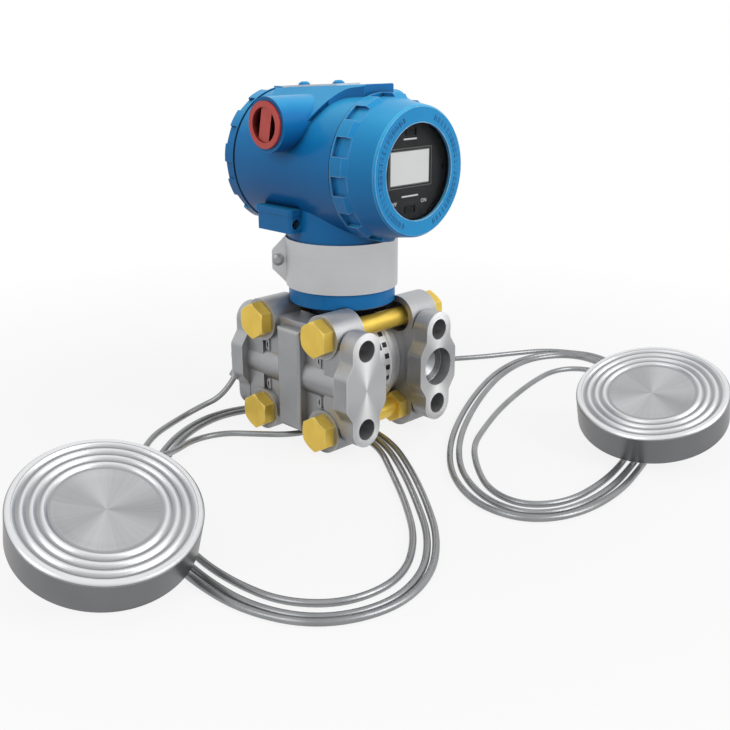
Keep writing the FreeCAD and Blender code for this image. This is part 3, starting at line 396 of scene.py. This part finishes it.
# %% Blue enamel
neck_foot = 0.0708
cover_front = -0.0525
pale = (0.040, 0.400, 0.700)
for name, shade, top, worn_and_lit_edge, front_light, names in (
        ("blue_enamel", (0.003, 0.034, 0.155), (0.006, 0.190, 0.490), (0.100, 0.400, 0.700), 0.0,
         ("housing", "sensor_neck", "rear_cover", "top_plate_screws")),
        ("bezel_enamel", (0.006, 0.090, 0.310), (0.014, 0.250, 0.560), (0.700, 0.880, 1.000), 0.22,
         ("front_cover",))):
    enamel, shader, tree = finish(name, Coat_Roughness=0.16, Specular_IOR_Level=0.10)
    spot = place_of(tree)
    x, y, z = axes_of(tree, spot)
    pooled = noise(tree, spot, 28.0, 3.0)
    peel = noise(tree, spot, 1100.0, 2.0)
    front = y < cover_front
    # Paler line along sharp edges, strongest on the front face: partly wear, partly painted highlight.
    edge = edges(tree, 0.0009) * noise(tree, spot, 160.0, 3.0).clear(0.2, 0.5) * (0.3 + 0.7 * front)
    # Painted light and shade: tops lighter, undersides darker, the window cover's face lighter; pooling is the
    # paint's own.
    lit_and_pooled = 0.75 * upward(tree) + 0.25 * pooled + front_light * front
    ramp = {"stops": [(0.0, shade), (0.68, top), (1.0, pale)]}
    colour = mixed(tree, edge, tree.node("ShaderNodeValToRGB", ramp, {0: lit_and_pooled}), worn_and_lit_edge)
    # Painted shade: the neck's stem and narrow corners are darkened to near black.
    stem_and_corner_shade = tree.math("MAXIMUM", z < neck_foot, 0.85 * shade_in_hollows(tree, 0.004))
    feed(shader, Base_Color=mixed(tree, stem_and_corner_shade, colour, (0.003, 0.006, 0.012)), Roughness=0.30 + 0.12 * peel,
         Coat_Weight=0.10 + 0.15 * pooled, Normal=relief(tree, peel, 0.00004))
    dress(enamel, *names)

# %% [markdown]
# ## Cast and machined steel of the flanges
# The flange castings are blasted, so they are satin grey with a sandy skin. Their bolting pads are
# faced on a lathe: lighter, smoother, with fine rings round the port. Such a face spreads light in
# a fan. A shader could do that with a tangent, but that isn't among the sockets fed here. So the
# fan is a lighter tone, fixed on each pad by the angle round its port.

# %% Flange steel
port_offset, port_height = 0.027, 0.0365
pad_face = 0.0452
bore_radius, bore_middle, bore_half = 0.0101, 0.0408, 0.0043
fan_sharpness, ring_waves = 16.0, 9000.0
cast, shader, tree = finish("cast_steel", Coat_Weight=0.0)
spot = place_of(tree)
x, y, z = axes_of(tree, spot)
sand = noise(tree, spot, 850.0, 4.0, 0.6)
cloud = noise(tree, spot, 45.0, 3.0)
across = abs(x) - port_offset
up = z - port_height
off_port = (across * across + up * up) ** 0.5
faced = abs(y) > pad_face
angle = tree.math("ARCTAN2", across, up)
fan = abs(tree.math("COSINE", angle)) ** fan_sharpness
rings = 0.5 + 0.5 * tree.math("SINE", off_port * ring_waves)
# Painted shade: the port's bore is darkened.
bore = (off_port < bore_radius) * (abs(abs(y) - bore_middle) < bore_half)
edge = edges(tree, 0.0008)
# Painted shade for corners and gaps, mixed in below.
corner_shade = shade_in_hollows(tree, 0.0035)
# Painted light and shade: tops lighter, undersides darker, over the casting's own tone.
tone_and_top_light = 0.25 * cloud + 0.15 * sand + 0.6 * upward(tree)
rough_colour = mixed(tree, tone_and_top_light, (0.13, 0.135, 0.145), (0.56, 0.565, 0.575))
faced_colour = mixed(tree, fan, (0.52, 0.525, 0.535), (1.0, 1.0, 1.0))
plain = mixed(tree, bore, mixed(tree, faced, rough_colour, faced_colour), (0.10, 0.10, 0.105))
# Sharp edges lighter: partly wear, partly painted highlight.
lit = mixed(tree, edge * 0.6, plain, (0.80, 0.805, 0.81))
feed(shader, Base_Color=mixed(tree, 0.75 * corner_shade, lit, (0.010, 0.010, 0.012)), Metallic=0.70 + 0.15 * faced,
     Roughness=0.36 + 0.10 * sand - 0.08 * faced,
     Normal=relief(tree, 0.4 * sand * (1 - faced) + 0.15 * rings * faced, 0.00012))
dress(cast, "high_side_flange", "low_side_flange")

# %% [markdown]
# ## Yellow zinc, turned steel, satin steel
# Bolts and nuts have a yellow chromate over zinc, uneven in tint; the fine thread at the ends is a bump.
# The capsule between the flanges is turned steel with dark marks: the CAD's recessed ones and,
# beside them, a row of stamps that is colour alone. Collar, plate, fittings and small screws are
# satin steels of several tones. One grey for all would look like paint, so one function lays fine
# level lines, and on the collar the shader spreads the lamps' gloss across them.

# %% Yellow zinc
zinc, shader, tree = finish("yellow_zinc", Coat_Weight=0.0)
spot = place_of(tree)
tint = noise(tree, spot, 110.0, 3.0)
pores = noise(tree, spot, 1500.0, 3.0)
x, y, z = axes_of(tree, spot)
thread_start, pitch = 0.0447, 0.00125
bolt_end = abs(x) > thread_start
thread = bolt_end * (0.5 + 0.5 * tree.math("SINE", x * (2 * np.pi / pitch)))
colour = mixed(tree, tint, (0.72, 0.46, 0.060), (0.92, 0.68, 0.120))
# Painted highlight: sharp edges pale yellow.
feed(shader, Base_Color=mixed(tree, edges(tree, 0.0006), colour, (0.97, 0.90, 0.60)),
     Metallic=0.45 + 0.2 * tint, Roughness=0.32 + 0.15 * pores, Normal=relief(tree, 0.2 * pores + thread, 0.0002))
dress(zinc, "flange_bolts", "flange_nuts", "lower_lock_nuts")

# %% Capsule
stamp_middle, stamp_half, stamp_count = 0.0071, 0.0016, 28.0
recess_radius, recess_half = 0.02725, 0.0046
turned, shader, tree = finish("turned_steel", Coat_Weight=0.0)
x, y, z = axes_of(tree, place_of(tree))
up = z - port_height
off_axis = (y * y + up ** 2.0) ** 0.5
angle = tree.math("ARCTAN2", y, up)
stamp = (abs(abs(x) - stamp_middle) < stamp_half) * (tree.math("COSINE", angle * stamp_count) > 0.15)
mark = tree.math("MAXIMUM", stamp, (off_axis < recess_radius) * (abs(x) < recess_half))
lines = noise(tree, place_of(tree, stretch=(0.0005, 1, 1)), 1.0, 3.0)
feed(shader, Base_Color=mixed(tree, mark, mixed(tree, lines, (0.70, 0.70, 0.71), (0.96, 0.96, 0.97)),
                              (0.012, 0.012, 0.014)),
     Metallic=0.6 - 0.6 * mark, Roughness=0.26 + 0.2 * lines, Normal=relief(tree, lines, 0.00003))
dress(turned, "sensor_capsule", "process_diaphragms")


# %% Satin stainless steel
def satin(name, dark, light, names, metal=0.40, streak=0.0):
    """Brushed steel between two tones, with fine lines that run level; metal is its least Metallic, and streak
    spreads the lamps' gloss across the lines."""
    made, shader, tree = finish(name, Coat_Weight=0.0, Anisotropic=streak)
    spot = place_of(tree)
    brush = noise(tree, place_of(tree, stretch=(0.3, 0.3, 0.0006)), 1.0, 4.0, 0.6)
    cloud = noise(tree, spot, 40.0)
    grey = 0.5 * brush + 0.5 * cloud
    # Painted highlight: sharp edges near white.
    feed(shader, Base_Color=mixed(tree, 0.6 * edges(tree, 0.0004), mixed(tree, grey, dark, light), (0.9, 0.9, 0.91)),
         Metallic=metal + 0.15 * cloud, Roughness=0.30 + 0.18 * brush, Normal=relief(tree, brush, 0.00002))
    dress(made, *names)


satin("satin_steel", (0.50, 0.51, 0.52), (0.76, 0.765, 0.77), ("top_plate", "terminal_screws"))
satin("screw_steel", (0.14, 0.142, 0.148), (0.62, 0.622, 0.63), ("collar_screw", "collar_nut"))
satin("black_steel", (0.010, 0.010, 0.011), (0.030, 0.030, 0.032), ("rotation_lock_screw",))
satin("collar_steel", (0.40, 0.405, 0.415), (0.64, 0.645, 0.655), ("tag_collar",),
      metal=0.80, streak=0.75)
satin("fitting_steel", (0.24, 0.245, 0.25), (0.44, 0.445, 0.45),
      ("high_capillary_adapter", "low_capillary_adapter", "high_seal_connector", "low_seal_connector"))

# %% [markdown]
# ## Plastics, rubber, glass
# The plugs are glossy red mouldings, the display and terminals are black with a fine spark-eroded
# grain, the sealing rings are matt rubber. Single colours would do from afar, but a grain in the
# normal keeps small black pieces from looking like glass. The window is thin clear glass. A glass
# shader would darken the display behind it, so a low alpha makes it nearly all see-through.

# %% Plastics and rubber
red, shader, tree = finish("red_plastic", Coat_Roughness=0.2)
cloud = noise(tree, place_of(tree), 90.0)
grain = noise(tree, place_of(tree), 2200.0)
colour = mixed(tree, cloud, (0.44, 0.040, 0.030), (0.60, 0.062, 0.046))
shaded = shade_in_hollows(tree, 0.008).clear(0.15, 0.6)
feed(shader, Base_Color=mixed(tree, shaded, colour, (0.020, 0.004, 0.003)), Coat_Weight=0.2 * cloud,
     Roughness=0.34 + 0.12 * grain, Normal=relief(tree, grain, 0.00002))
dress(red, "left_conduit_plug", "right_conduit_plug")

for name, dark, light, names in (
        ("black_plastic", (0.022, 0.022, 0.023), (0.036, 0.036, 0.038), ("display_module",)),
        ("deep_plastic", (0.008, 0.008, 0.009), (0.016, 0.016, 0.018),
         ("electronics_module", "terminal_block", "window_retainer", "display_screws", "alarm_switch",
          "security_switch"))):
    black, shader, tree = finish(name, Coat_Weight=0.0, Specular_IOR_Level=0.08)
    cloud = noise(tree, place_of(tree), 70.0)
    grain = noise(tree, place_of(tree), 3200.0)
    # Edges a lighter grey: partly wear, partly painted highlight.
    worn_and_lit_edge = 0.5 * edges(tree, 0.0003)
    feed(shader, Base_Color=mixed(tree, worn_and_lit_edge, mixed(tree, cloud, dark, light), (0.10, 0.10, 0.105)),
         Roughness=0.44 + 0.16 * grain, Normal=relief(tree, grain, 0.00003))
    dress(black, *names)

rubber, shader, tree = finish("seal_rubber", Coat_Weight=0.0)
grain = noise(tree, place_of(tree), 1800.0)
feed(shader, Base_Color=mixed(tree, grain, (0.012, 0.012, 0.012), (0.03, 0.03, 0.03)), Roughness=0.7 + 0.2 * grain)
dress(rubber, "capsule_gaskets", "window_gasket", "front_cover_seal", "rear_cover_seal")

# %% Liquid crystal and window glass
crystal_z = 144.1
lit_x, lit_z = 0.0135, 0.0078
crystal, shader, tree = finish("liquid_crystal", Coat_Weight=0.3, Coat_Roughness=0.1)
x, y, z = axes_of(tree, place_of(tree))
edge = tree.math("MAXIMUM", abs(x) > lit_x, abs(z - crystal_z / 1000) > lit_z)
cloud = noise(tree, place_of(tree), 60.0)
feed(shader, Base_Color=mixed(tree, edge, mixed(tree, cloud, (0.78, 0.79, 0.78), (0.86, 0.87, 0.86)),
                              (0.16, 0.165, 0.165)), Roughness=0.25 + 0.1 * cloud)
dress(crystal, "display_glass")

window, shader, tree = finish("window_glass", Base_Color=(0.06, 0.07, 0.07, 1.0), Coat_Weight=0.0)
smear = noise(tree, place_of(tree), 35.0, 3.0)
feed(shader, Alpha=0.02 + 0.04 * smear, Roughness=0.02 + 0.05 * smear)
dress(window, "window_glass")

# %% [markdown]
# ## Remote seals
# A seal is a thick steel disc. Its face carries a thin corrugated diaphragm, welded on at the rim,
# with a flat centre disc. A stack of rings could be modelled one by one, but the diaphragm is a
# surface of revolution, so one profile of smooth waves turned round the axis gives it whole.


# %% Turned surfaces
def put(name, points, faces, body, replaced=(), slot=None):
    """A mesh object from arrays of points and faces, in the frame's metres, that rides on a body."""
    mesh = bpy.data.meshes.new(name)
    mesh.from_pydata(points.tolist(), [], faces)
    mesh.shade_smooth()
    made = bpy.data.objects.new(name, mesh)
    scene.collection.objects.link(made)
    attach(made, body)
    if replaced:
        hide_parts(*replaced)
    print(name, len(points), "points,", len(faces), "faces")
    return made


def revolved(profile, steps):
    """Surface of revolution about z: each profile point (r, z), from the axis to the axis, is turned through `steps`
    angles as (r cos a, r sin a, z); the two ends close in a single point each."""
    inner = np.array(profile[1:-1])
    angles = np.arange(steps) * 2 * np.pi / steps
    radii, heights = inner[:, 0], inner[:, 1]
    body = np.stack([np.outer(radii, np.cos(angles)), np.outer(radii, np.sin(angles)),
                     np.repeat(heights[:, None], steps, 1)], -1).reshape(-1, 3)
    points = np.vstack([body, [(0, 0, profile[0][1])], [(0, 0, profile[-1][1])]])
    rows, columns = np.meshgrid(np.arange(len(inner) - 1), np.arange(steps), indexing="ij")
    after = (columns + 1) % steps
    quads = np.stack([rows * steps + columns, rows * steps + after, (rows + 1) * steps + after,
                      (rows + 1) * steps + columns], -1).reshape(-1, 4)
    last = (len(inner) - 1) * steps
    ring = np.arange(steps)
    nxt = (ring + 1) % steps
    start = np.stack([np.full(steps, len(body)), nxt, ring], -1)
    end = np.stack([np.full(steps, len(body) + 1), last + ring, last + nxt], -1)
    return points, quads.tolist() + start.tolist() + end.tolist()


seal_radius, seal_height = 38.0, 16.0


def leaned(centre, tilt, heading, front_light):
    """Place of a seal: its face's centre stands at the height of the tilted disc's low edge, its slope climbs
    towards the heading; returns the matrix from the seal's own frame."""
    lean = np.radians(tilt)
    height = front_light + seal_radius * np.sin(lean) + seal_height * np.cos(lean)
    turn = Euler((0, 0, np.radians(heading))).to_matrix() @ Euler((0, -lean, 0)).to_matrix()
    return Matrix.Translation(Vector((*centre, height)) / 1000) @ turn.to_4x4()


# %% Diaphragms
seat, rim, disc, dish = -2.6, 35.4, 21.0, 16.5
crest, trough, floor_depth = -0.15, -1.15, -1.75
half_waves = 7
waves = np.linspace(0, 1, 113)
wave_radii = rim - 0.1 - (rim - disc - 0.8) * waves
wave_heights = trough + (crest - trough) * (0.5 + 0.5 * np.cos(half_waves * np.pi * waves))
slope = np.linspace(disc, dish, 12)
slope_heights = trough + (floor_depth - trough) * (0.5 - 0.5 * np.cos(np.pi * (disc - slope) / (disc - dish)))
flat = np.linspace(dish - 0.5, 1.0, 20)
profile = ([(0, seat), (rim, seat), (rim, crest)] + list(zip(wave_radii, wave_heights))
           + list(zip(slope, slope_heights)) + [(r, floor_depth) for r in flat] + [(0, floor_depth)])
profile = [(r / 1000, h / 1000) for r, h in profile]
seal_places = {"high": leaned((-179.6, -54.6), 23.9, 78.0, 1.0), "low": leaned((86.0, -138.7), 20.4, 12.0, 3.7)}
for side, matrix in seal_places.items():
    points, faces = revolved(profile, 160)
    placed = points @ np.array(matrix.to_3x3()).T + np.array(matrix.translation)
    put(side + "_diaphragm", placed, faces, "sensor_module", [side + "_seal_diaphragm"], "stainless")

# %% [markdown]
# The seal's steel is turned all over: fine rings round its own axis on rim and edge, and on the
# centre disc a radial grain with lighter and darker sectors, which stand for the fan of light on
# turned steel. One finish for both could not follow both axes. Each seal leans its own way, so each
# has its own finish, with the pattern's place turned to the seal's axis by a Mapping node.

# %% Seal steel
wall_start, face_floor, crest_top = 0.0377, -0.0035, -0.0001
for side, matrix in seal_places.items():
    steel, shader, tree = finish(side + "_seal_steel", Coat_Weight=0.0)
    spot = place_of(tree, matrix.translation, matrix.to_euler())
    x, y, z = axes_of(tree, spot)
    out = (x * x + y * y) ** 0.5
    angle = tree.math("ARCTAN2", y, x)
    lines = tree.node("ShaderNodeTexNoise", {"noise_dimensions": "1D"}, {"W": out, "Scale": 1800.0, "Detail": 3.0})
    face = tree.node("ShaderNodeCombineXYZ", {}, {0: tree.math("COSINE", angle), 1: tree.math("SINE", angle)})
    spokes = noise(tree, face, 14.0, 5.0, 0.65)
    fan = 0.5 + 0.3 * tree.math("COSINE", angle * 2.0 + 0.6) + 0.2 * tree.math("COSINE", angle * 5.0)
    centre = (out < disc / 1000) * (z > face_floor)
    wall = out > wall_start
    cloud = noise(tree, spot, 40.0)
    # Painted light and shade: the diaphragm's crests lighter, its troughs darker.
    raised = z.clear(trough / 1000, crest_top)
    rings_and_crest_light = mixed(tree, 0.65 * raised + 0.2 * lines + 0.15 * cloud, (0.24, 0.245, 0.255), (0.84, 0.845, 0.855))
    fanned = mixed(tree, 0.55 * fan + 0.45 * spokes, (0.28, 0.285, 0.295), (0.60, 0.60, 0.61))
    # Painted shade: the side wall is dark, standing for the dark reflection it would show.
    shaded_wall = mixed(tree, 0.5 * lines + 0.5 * cloud, (0.10, 0.102, 0.108), (0.24, 0.242, 0.248))
    face_colour = mixed(tree, centre, rings_and_crest_light, fanned)
    # Edges near white: partly wear, partly painted highlight.
    worn_and_lit_edge = 0.7 * edges(tree, 0.0006)
    before_corner_shade = mixed(tree, worn_and_lit_edge, mixed(tree, wall, face_colour, shaded_wall), (0.86, 0.86, 0.87))
    # Painted shade: corners and gaps darkened.
    feed(shader, Base_Color=mixed(tree, 0.8 * shade_in_hollows(tree, 0.003), before_corner_shade, (0.03, 0.03, 0.032)),
         Metallic=0.75 + 0.1 * cloud, Roughness=0.26 + 0.16 * lines + 0.05 * centre,
         Normal=relief(tree, lines * (1 - centre), 0.00002))
    dress(steel, side + "_seal_body")
    bpy.data.objects[side + "_diaphragm"].data.materials.append(steel)

# %% [markdown]
# ## Marks on the window cover and the display
# The window cover has a ring of raised marks on its face. Here they are plain bars, without words.
# A bump would vanish at the outline, so each bar is a small block laid along the ring. The display
# has a printed line round the crystal, a plain dash at each of its two switches, dark lines round
# the lower switch, and ON and OFF beside it.


# %% Raised bars round the window
def blocks(corners, outward):
    """Six-sided blocks: each row of `corners` holds the four corners of a block's foot, counter-clockwise as seen
    from outside, and the block rises from it by the vector `outward`."""
    foot = np.array(corners, float)
    points = np.concatenate([foot, foot + np.array(outward)], 1).reshape(-1, 3)
    one = np.array([(0, 3, 2, 1), (4, 5, 6, 7), (0, 1, 5, 4), (1, 2, 6, 5), (2, 3, 7, 6), (3, 0, 4, 7)])
    faces = (one[None] + 8 * np.arange(len(foot))[:, None, None]).reshape(-1, 4)
    return points / 1000, faces.tolist()


barrel_z = 142.5
face_y = -54.0
bar_root, bar_height = 0.1, 0.42
marks = np.radians(np.r_[np.arange(24, 158, 6.0), np.arange(204, 338, 6.0)])
wide = np.radians(1.7 + 0.7 * np.sin(marks * 7))
ends = np.stack([marks - wide, marks + wide, marks + wide, marks - wide], 1)
reach = np.array([28.1, 28.1, 25.6, 25.6])
feet = np.stack([reach * np.sin(ends), np.full(ends.shape, face_y + bar_root), barrel_z + reach * np.cos(ends)], -1)
bars = put("cover_marks", *blocks(feet[:, ::-1], (0, -bar_height, 0)), "front_cover_set", slot="blue_paint")
bars.data.shade_flat()
bars.data.materials.append(bpy.data.materials["blue_enamel"])

# %% Printed marks of the display
print_y = -48.0
ink_height = 0.12


def dash(start, end, width):
    """Foot corners of a flat dash from start to end in the display's x and z, in millimetres."""
    start, end = np.array(start), np.array(end)
    along = (end - start) / np.linalg.norm(end - start)
    side = width / 2 * np.array([-along[1], along[0]])
    flat = np.array([start - side, end - side, end + side, start + side])
    return np.stack([flat[:, 0], np.full(4, print_y), flat[:, 1]], -1)


frame_x, frame_z = 14.9, 9.2
corners = [(-frame_x, crystal_z - frame_z), (frame_x, crystal_z - frame_z),
           (frame_x, crystal_z + frame_z), (-frame_x, crystal_z + frame_z)]
frame_width, dash_width, line_width = 0.45, 0.7, 0.35
top_z, low_z, switch_z, foot_z = 157.6, 130.6, 127.6, 119.5
grey_dashes = [dash(a, b, frame_width) for a, b in zip(corners, corners[1:] + corners[:1])]
white_dashes = [dash((-5, top_z), (4, top_z), dash_width), dash((-6, low_z), (5.5, low_z), dash_width)]
dark_dashes = [dash((-6, switch_z), (4.4, switch_z), line_width), dash((-6, switch_z), (-11, foot_z), line_width),
               dash((4.4, switch_z), (9.4, foot_z), line_width)]
for name, dashes, tone in (("frame_line", grey_dashes, 0.13), ("white_dashes", white_dashes, 0.90),
                           ("switch_line", dark_dashes, 0.006)):
    ink, shader, tree = finish(name + "_ink", Coat_Weight=0.0)
    speck = noise(tree, place_of(tree), 2600.0)
    feed(shader, Base_Color=mixed(tree, speck, (tone * 0.85,) * 3, (tone,) * 3), Roughness=0.4 + 0.2 * speck)
    made = put(name, *blocks(np.array(dashes), (0, -ink_height, 0)), "electronics_housing", slot="black_plastic")
    made.data.shade_flat()
    made.data.materials.append(ink)


# %% ON and OFF
def word(text, x, z, size):
    """Letters as a mesh on the display's face: the flat text stands up about x, so that its y becomes z."""
    curve = bpy.data.curves.new(text, "FONT")
    curve.body = text
    curve.size = size
    curve.align_x = "CENTER"
    curve.extrude = 0.06
    holder = bpy.data.objects.new(text + "_text", curve)
    scene.collection.objects.link(holder)
    bpy.context.view_layer.update()
    mesh = bpy.data.meshes.new_from_object(holder.evaluated_get(bpy.context.evaluated_depsgraph_get()))
    bpy.data.objects.remove(holder)
    mesh.transform(Matrix.Translation(Vector((x, print_y, z)) / 1000) @ Matrix.Scale(0.001, 4)
                   @ Matrix.Rotation(np.pi / 2, 4, "X"))
    made = bpy.data.objects.new("switch_" + text.lower(), mesh)
    scene.collection.objects.link(made)
    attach(made, "electronics_housing")
    mesh.materials.clear()
    mesh.materials.append(bpy.data.materials["white_dashes_ink"])
    print(text, len(mesh.polygons), "faces")


word("OFF", -11.6, 126.6, 2.6)
word("ON", 9.8, 126.6, 2.6)

# %% [markdown]
# ## Finish
# The visual model may stand a little proud of the CAD model, but not grow past it.

# %% Finish
bpy.context.view_layer.update()
